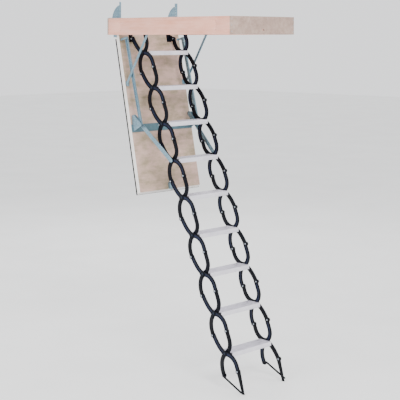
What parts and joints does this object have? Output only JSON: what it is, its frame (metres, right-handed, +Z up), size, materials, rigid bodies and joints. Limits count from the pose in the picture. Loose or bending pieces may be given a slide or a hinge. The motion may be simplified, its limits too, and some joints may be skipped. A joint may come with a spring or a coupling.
{
  "type": "attic ladder",
  "caption": "Attic ladder: hatch frame with a swinging insulated door that carries lazy-tongs arms with level steps; closes and folds up into the opening.",
  "frame": {"origin": "middle of the hinge end board's outer face, at the underside of the frame, which is the ceiling plane", "axes": "+X runs from the hinge end to the front end of the opening, Y runs along the steps, +Z is up"},
  "size_m": [1.1739, 0.6, 2.4598],
  "materials": {
    "board": "smooth faced board",
    "door_board": "birch plywood",
    "white_edge": "smooth",
    "white_sheet": "satin",
    "rubber": "matt",
    "galvanised": "zinc plated",
    "zinc_screw": "zinc plated",
    "black_arm": "powder coat",
    "step_aluminium": "mill finish",
    "bright_pin": "plated",
    "teal_bar": "satin"
  },
  "bodies": {
    "frame": {"left_side_board": "board", "right_side_board": "board", "hinge_end_board": "board", "front_end_board": "board", "frame_screws": "zinc_screw", "hanging_brackets": "galvanised", "door_pivot_plates": "galvanised"},
    "door": {"door_panel": "door_board", "door_edging": "white_edge", "door_facing": "white_sheet", "door_seal": "rubber", "door_rails": "galvanised", "rail_brackets": "galvanised", "cross_bar": "teal_bar", "ladder_brackets": "black_arm", "stay_brackets": "galvanised", "catch_case": "galvanised"},
    "catch": {"catch_bolt": "zinc_screw"},
    "front_arms_1": {"front_arms_1": "black_arm"},
    "rear_arms_1": {"rear_arms_1": "black_arm"},
    "step_1": {"step_1": "step_aluminium", "step_pins_1": "bright_pin"},
    "rear_arms_2": {"rear_arms_2": "black_arm"},
    "front_arms_2": {"front_arms_2": "black_arm"},
    "step_2": {"step_2": "step_aluminium", "step_pins_2": "bright_pin"},
    "front_arms_3": {"front_arms_3": "black_arm"},
    "rear_arms_3": {"rear_arms_3": "black_arm"},
    "step_3": {"step_3": "step_aluminium", "step_pins_3": "bright_pin"},
    "rear_arms_4": {"rear_arms_4": "black_arm"},
    "front_arms_4": {"front_arms_4": "black_arm"},
    "step_4": {"step_4": "step_aluminium", "step_pins_4": "bright_pin"},
    "front_arms_5": {"front_arms_5": "black_arm"},
    "rear_arms_5": {"rear_arms_5": "black_arm"},
    "step_5": {"step_5": "step_aluminium", "step_pins_5": "bright_pin"},
    "rear_arms_6": {"rear_arms_6": "black_arm"},
    "front_arms_6": {"front_arms_6": "black_arm"},
    "step_6": {"step_6": "step_aluminium", "step_pins_6": "bright_pin"},
    "front_arms_7": {"front_arms_7": "black_arm"},
    "rear_arms_7": {"rear_arms_7": "black_arm"},
    "step_7": {"step_7": "step_aluminium", "step_pins_7": "bright_pin"},
    "rear_arms_8": {"rear_arms_8": "black_arm"},
    "front_arms_8": {"front_arms_8": "black_arm"},
    "step_8": {"step_8": "step_aluminium", "step_pins_8": "bright_pin"},
    "front_arms_9": {"front_arms_9": "black_arm"},
    "rear_arms_9": {"rear_arms_9": "black_arm"},
    "step_9": {"step_9": "step_aluminium", "step_pins_9": "bright_pin"},
    "levers": {"levers": "galvanised"},
    "stays": {"stay_bars": "galvanised", "stay_rollers": "rubber"},
    "feet": {"foot_legs": "black_arm", "foot_shoes": "rubber"},
    "foot_links": {"foot_links": "black_arm"}
  },
  "joints": [
    {"name": "door_hinge", "type": "hinge", "parent": "frame", "child": "door", "pos_m": [0.0706, 0, -0.008], "axis": [0, 1, 0], "range_deg": [-78.3, 0]},
    {"name": "catch_slide", "type": "slide", "parent": "door", "child": "catch", "axis": [-0.2028, 0, 0.9792], "range_m": [0, 0.012]},
    {"name": "tongs_1", "type": "hinge", "parent": "door", "child": "front_arms_1", "pos_m": [0.14062, 0, -0.02659], "axis": [0, 1, 0], "range_deg": [-42.43, 0]},
    {"name": "crossing_1", "type": "hinge", "parent": "front_arms_1", "child": "rear_arms_1", "pos_m": [0.24798, 0, -0.12027], "axis": [0, 1, 0], "range_deg": [0, 109.26]},
    {"name": "step_tilt_1", "type": "hinge", "parent": "front_arms_1", "child": "step_1", "pos_m": [0.24798, 0, -0.12027], "axis": [0, 1, 0], "range_deg": [0, 54.63]},
    {"name": "tongs_2", "type": "hinge", "parent": "front_arms_1", "child": "rear_arms_2", "pos_m": [0.35533, 0, -0.21395], "axis": [0, 1, 0], "range_deg": [0, 109.26]},
    {"name": "crossing_2", "type": "hinge", "parent": "rear_arms_2", "child": "front_arms_2", "pos_m": [0.34418, 0, -0.35599], "axis": [0, 1, 0], "range_deg": [-109.26, 0]},
    {"name": "step_tilt_2", "type": "hinge", "parent": "rear_arms_2", "child": "step_2", "pos_m": [0.34418, 0, -0.35599], "axis": [0, 1, 0], "range_deg": [-54.63, 0]},
    {"name": "tongs_3", "type": "hinge", "parent": "rear_arms_2", "child": "front_arms_3", "pos_m": [0.33302, 0, -0.49804], "axis": [0, 1, 0], "range_deg": [-109.26, 0]},
    {"name": "crossing_3", "type": "hinge", "parent": "front_arms_3", "child": "rear_arms_3", "pos_m": [0.44038, 0, -0.59172], "axis": [0, 1, 0], "range_deg": [0, 109.26]},
    {"name": "step_tilt_3", "type": "hinge", "parent": "front_arms_3", "child": "step_3", "pos_m": [0.44038, 0, -0.59172], "axis": [0, 1, 0], "range_deg": [0, 54.63]},
    {"name": "tongs_4", "type": "hinge", "parent": "front_arms_3", "child": "rear_arms_4", "pos_m": [0.54773, 0, -0.6854], "axis": [0, 1, 0], "range_deg": [0, 109.26]},
    {"name": "crossing_4", "type": "hinge", "parent": "rear_arms_4", "child": "front_arms_4", "pos_m": [0.53657, 0, -0.82745], "axis": [0, 1, 0], "range_deg": [-109.26, 0]},
    {"name": "step_tilt_4", "type": "hinge", "parent": "rear_arms_4", "child": "step_4", "pos_m": [0.53657, 0, -0.82745], "axis": [0, 1, 0], "range_deg": [-54.63, 0]},
    {"name": "tongs_5", "type": "hinge", "parent": "rear_arms_4", "child": "front_arms_5", "pos_m": [0.52542, 0, -0.96949], "axis": [0, 1, 0], "range_deg": [-109.26, 0]},
    {"name": "crossing_5", "type": "hinge", "parent": "front_arms_5", "child": "rear_arms_5", "pos_m": [0.63277, 0, -1.06317], "axis": [0, 1, 0], "range_deg": [0, 109.26]},
    {"name": "step_tilt_5", "type": "hinge", "parent": "front_arms_5", "child": "step_5", "pos_m": [0.63277, 0, -1.06317], "axis": [0, 1, 0], "range_deg": [0, 54.63]},
    {"name": "tongs_6", "type": "hinge", "parent": "front_arms_5", "child": "rear_arms_6", "pos_m": [0.74013, 0, -1.15686], "axis": [0, 1, 0], "range_deg": [0, 109.26]},
    {"name": "crossing_6", "type": "hinge", "parent": "rear_arms_6", "child": "front_arms_6", "pos_m": [0.72897, 0, -1.2989], "axis": [0, 1, 0], "range_deg": [-109.26, 0]},
    {"name": "step_tilt_6", "type": "hinge", "parent": "rear_arms_6", "child": "step_6", "pos_m": [0.72897, 0, -1.2989], "axis": [0, 1, 0], "range_deg": [-54.63, 0]},
    {"name": "tongs_7", "type": "hinge", "parent": "rear_arms_6", "child": "front_arms_7", "pos_m": [0.71781, 0, -1.44095], "axis": [0, 1, 0], "range_deg": [-109.26, 0]},
    {"name": "crossing_7", "type": "hinge", "parent": "front_arms_7", "child": "rear_arms_7", "pos_m": [0.82517, 0, -1.53463], "axis": [0, 1, 0], "range_deg": [0, 109.26]},
    {"name": "step_tilt_7", "type": "hinge", "parent": "front_arms_7", "child": "step_7", "pos_m": [0.82517, 0, -1.53463], "axis": [0, 1, 0], "range_deg": [0, 54.63]},
    {"name": "tongs_8", "type": "hinge", "parent": "front_arms_7", "child": "rear_arms_8", "pos_m": [0.93252, 0, -1.62831], "axis": [0, 1, 0], "range_deg": [0, 109.26]},
    {"name": "crossing_8", "type": "hinge", "parent": "rear_arms_8", "child": "front_arms_8", "pos_m": [0.92137, 0, -1.77035], "axis": [0, 1, 0], "range_deg": [-109.26, 0]},
    {"name": "step_tilt_8", "type": "hinge", "parent": "rear_arms_8", "child": "step_8", "pos_m": [0.92137, 0, -1.77035], "axis": [0, 1, 0], "range_deg": [-54.63, 0]},
    {"name": "tongs_9", "type": "hinge", "parent": "rear_arms_8", "child": "front_arms_9", "pos_m": [0.91021, 0, -1.9124], "axis": [0, 1, 0], "range_deg": [-109.26, 0]},
    {"name": "crossing_9", "type": "hinge", "parent": "front_arms_9", "child": "rear_arms_9", "pos_m": [1.01756, 0, -2.00608], "axis": [0, 1, 0], "range_deg": [0, 109.26]},
    {"name": "step_tilt_9", "type": "hinge", "parent": "front_arms_9", "child": "step_9", "pos_m": [1.01756, 0, -2.00608], "axis": [0, 1, 0], "range_deg": [0, 54.63]},
    {"name": "lever_pivot", "type": "hinge", "parent": "door", "child": "levers", "pos_m": [0.2335, 0, -0.55299], "axis": [0, 1, 0], "range_deg": [-122.03, 0]},
    {"name": "stay_pivot", "type": "hinge", "parent": "door", "child": "stays", "pos_m": [0.18201, 0, -0.33], "axis": [0, 1, 0], "range_deg": [0, 130.57]},
    {"name": "foot_pivot", "type": "hinge", "parent": "front_arms_9", "child": "feet", "pos_m": [1.12492, 0, -2.09976], "axis": [0, 1, 0], "range_deg": [0, 119.42]},
    {"name": "foot_link_pivot", "type": "hinge", "parent": "rear_arms_9", "child": "foot_links", "pos_m": [1.00641, 0, -2.14813], "axis": [0, 1, 0], "range_deg": [-86.89, 0]}
  ],
  "couplings": [
    {"joint": "tongs_1", "follows": "door_hinge", "ratio": 0.54189},
    {"joint": "crossing_1", "follows": "door_hinge", "ratio": -1.3954},
    {"joint": "step_tilt_1", "follows": "door_hinge", "ratio": -0.6977},
    {"joint": "tongs_2", "follows": "door_hinge", "ratio": -1.3954},
    {"joint": "crossing_2", "follows": "door_hinge", "ratio": 1.3954},
    {"joint": "step_tilt_2", "follows": "door_hinge", "ratio": 0.6977},
    {"joint": "tongs_3", "follows": "door_hinge", "ratio": 1.3954},
    {"joint": "crossing_3", "follows": "door_hinge", "ratio": -1.3954},
    {"joint": "step_tilt_3", "follows": "door_hinge", "ratio": -0.6977},
    {"joint": "tongs_4", "follows": "door_hinge", "ratio": -1.3954},
    {"joint": "crossing_4", "follows": "door_hinge", "ratio": 1.3954},
    {"joint": "step_tilt_4", "follows": "door_hinge", "ratio": 0.6977},
    {"joint": "tongs_5", "follows": "door_hinge", "ratio": 1.3954},
    {"joint": "crossing_5", "follows": "door_hinge", "ratio": -1.3954},
    {"joint": "step_tilt_5", "follows": "door_hinge", "ratio": -0.6977},
    {"joint": "tongs_6", "follows": "door_hinge", "ratio": -1.3954},
    {"joint": "crossing_6", "follows": "door_hinge", "ratio": 1.3954},
    {"joint": "step_tilt_6", "follows": "door_hinge", "ratio": 0.6977},
    {"joint": "tongs_7", "follows": "door_hinge", "ratio": 1.3954},
    {"joint": "crossing_7", "follows": "door_hinge", "ratio": -1.3954},
    {"joint": "step_tilt_7", "follows": "door_hinge", "ratio": -0.6977},
    {"joint": "tongs_8", "follows": "door_hinge", "ratio": -1.3954},
    {"joint": "crossing_8", "follows": "door_hinge", "ratio": 1.3954},
    {"joint": "step_tilt_8", "follows": "door_hinge", "ratio": 0.6977},
    {"joint": "tongs_9", "follows": "door_hinge", "ratio": 1.3954},
    {"joint": "crossing_9", "follows": "door_hinge", "ratio": -1.3954},
    {"joint": "step_tilt_9", "follows": "door_hinge", "ratio": -0.6977},
    {"joint": "lever_pivot", "follows": "door_hinge", "ratio": 1.5585},
    {"joint": "stay_pivot", "follows": "door_hinge", "ratio": -1.6675},
    {"joint": "foot_pivot", "follows": "door_hinge", "ratio": -1.5252},
    {"joint": "foot_link_pivot", "follows": "door_hinge", "ratio": 1.1098}
  ]
}
